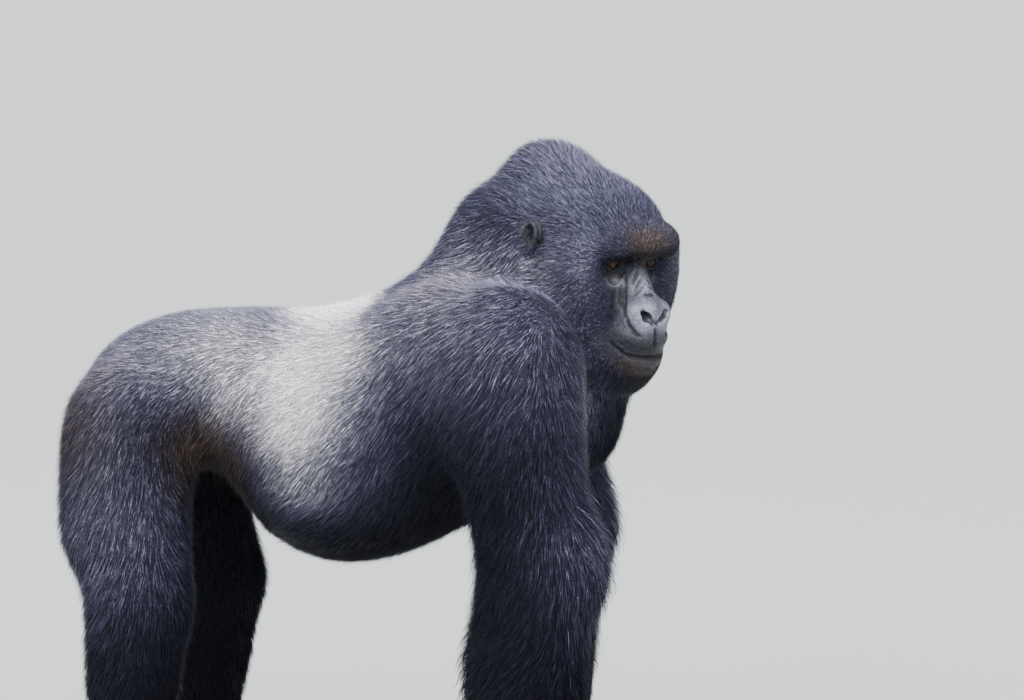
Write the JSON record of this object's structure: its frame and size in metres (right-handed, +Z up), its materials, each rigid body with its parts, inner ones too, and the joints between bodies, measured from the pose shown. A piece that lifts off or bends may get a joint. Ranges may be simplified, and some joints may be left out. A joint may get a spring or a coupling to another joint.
{
  "type": "gorilla",
  "caption": "Life-size still model of an adult male mountain gorilla standing on its knuckles and soles, with its head turned to its right.",
  "frame": {"origin": "centre of the animal's footprint box, on the floor it stands on", "axes": "+X the way the body faces, +Y to the animal's left, +Z up"},
  "size_m": [1.0296, 0.7468, 1.1615],
  "materials": {
    "coat_black": "long black hair with a cold sheen",
    "coat_silver": "short silver-white hair of the back",
    "coat_grey": "grey hair of the rump and loins",
    "skin_bare": "bare dark skin, finely wrinkled, with a soft shine",
    "eye": "wet, brown iris in a dark eye"
  },
  "bodies": {
    "root": {"pelvis": "coat_grey", "abdomen": "coat_silver", "chest": "coat_black", "neck": "coat_black", "head": "coat_black", "lower_jaw": "coat_black", "upper_arm_right": "coat_black", "forearm_right": "coat_black", "thigh_right": "coat_black", "shank_right": "coat_black", "hand_right": "skin_bare", "thumb_right": "skin_bare", "finger_right_1": "skin_bare", "finger_right_2": "skin_bare", "finger_right_3": "skin_bare", "finger_right_4": "skin_bare", "foot_right": "skin_bare", "big_toe_right": "skin_bare", "toe_right_1": "skin_bare", "toe_right_2": "skin_bare", "toe_right_3": "skin_bare", "toe_right_4": "skin_bare", "ear_right": "skin_bare", "eye_right": "eye", "upper_arm_left": "coat_black", "forearm_left": "coat_black", "thigh_left": "coat_black", "shank_left": "coat_black", "hand_left": "skin_bare", "thumb_left": "skin_bare", "finger_left_1": "skin_bare", "finger_left_2": "skin_bare", "finger_left_3": "skin_bare", "finger_left_4": "skin_bare", "foot_left": "skin_bare", "big_toe_left": "skin_bare", "toe_left_1": "skin_bare", "toe_left_2": "skin_bare", "toe_left_3": "skin_bare", "toe_left_4": "skin_bare", "ear_left": "skin_bare", "eye_left": "eye"}
  },
  "joints": []
}
